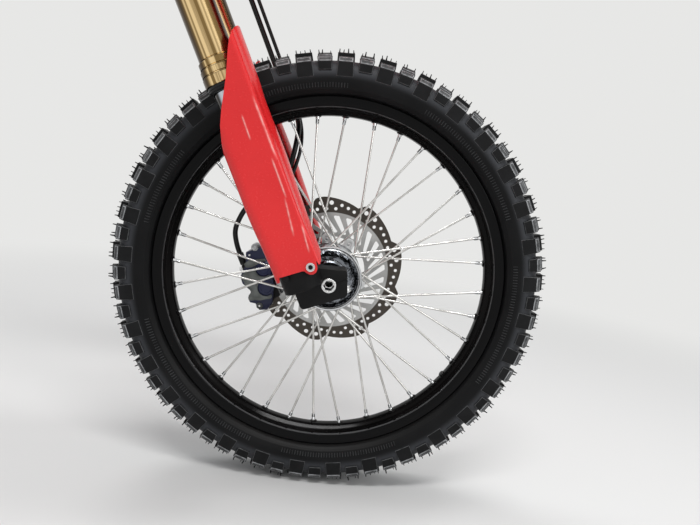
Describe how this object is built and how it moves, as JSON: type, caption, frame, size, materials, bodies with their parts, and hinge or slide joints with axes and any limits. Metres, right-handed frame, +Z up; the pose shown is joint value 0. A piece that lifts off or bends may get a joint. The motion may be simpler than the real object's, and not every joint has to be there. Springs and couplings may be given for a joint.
{
  "type": "off-road motorcycle front fork and wheel assembly",
  "caption": "Off-road motorcycle front end: spoked wheel with knobby tyre and wave brake disc, upside-down fork, guards, clamps and fender.",
  "frame": {"origin": "steering stem's axis at its lower bearing seat, where the stem leaves the lower clamp", "axes": "+Z up and +X forward as on the upright parked vehicle, +Y to the rider's left; the steering axis leans back by the rake"},
  "size_m": [0.8659, 0.268, 1.2633],
  "materials": {
    "tyre_rubber": "satin",
    "rim_black": "gloss",
    "spoke_steel": "satin",
    "hub_alloy": "satin",
    "disc_steel": "satin",
    "axle_steel": "satin",
    "bolt_steel": "satin",
    "cast_black": "matt",
    "tube_chrome": "gloss",
    "gold_anodised": "satin",
    "seal_rubber": "matt",
    "cap_alloy": "satin",
    "guard_red": "gloss",
    "fender_red": "gloss",
    "caliper_blue": "satin",
    "bracket_alloy": "satin",
    "pad_steel": "matt",
    "hose_rubber": "matt",
    "fitting_steel": "satin",
    "holder_plastic": "matt",
    "clamp_alloy": "satin"
  },
  "bodies": {
    "fork": {"axle": "axle_steel", "axle_nut": "axle_steel", "wheel_collars": "hub_alloy", "fork_bottom_right": "cast_black", "fork_bottom_left": "cast_black", "inner_tube_right": "tube_chrome", "inner_tube_left": "tube_chrome", "outer_tube_right": "gold_anodised", "outer_tube_left": "gold_anodised", "dust_seal_right": "seal_rubber", "dust_seal_left": "seal_rubber", "fork_cap_right": "cap_alloy", "fork_cap_left": "cap_alloy", "fork_guard_right": "guard_red", "fork_guard_left": "guard_red", "pinch_bolts": "bolt_steel", "guard_screws": "bolt_steel", "caliper_body": "caliper_blue", "caliper_bracket": "bracket_alloy", "bracket_bolts": "bolt_steel", "brake_pads": "pad_steel", "slide_pins": "bolt_steel", "lower_clamp": "clamp_alloy", "lower_clamp_bolts": "bolt_steel", "upper_clamp": "clamp_alloy", "upper_clamp_bolts": "bolt_steel", "steering_stem": "axle_steel", "stem_nut": "cap_alloy", "front_fender": "fender_red", "fender_bolts": "bolt_steel", "brake_hose": "hose_rubber", "sensor_lead": "hose_rubber", "hose_holders": "holder_plastic", "holder_screws": "bolt_steel", "hose_fittings": "cast_black", "banjo_bolt": "fitting_steel", "speed_sensor": "holder_plastic", "lead_plug": "holder_plastic"},
    "wheel": {"tyre": "tyre_rubber", "rim": "rim_black", "spokes_right": "spoke_steel", "spokes_left": "spoke_steel", "spoke_nipples": "spoke_steel", "rim_plug": "seal_rubber", "tyre_valve": "fitting_steel", "hub": "hub_alloy", "wheel_bearings": "axle_steel", "bearing_seals": "seal_rubber", "brake_disc": "disc_steel", "disc_bolts": "bolt_steel"}
  },
  "joints": [
    {"name": "wheel_spin", "type": "hinge", "parent": "fork", "child": "wheel", "pos_m": [0.40053, 0, -0.6438], "axis": [0, 1, 0], "continuous": true}
  ]
}
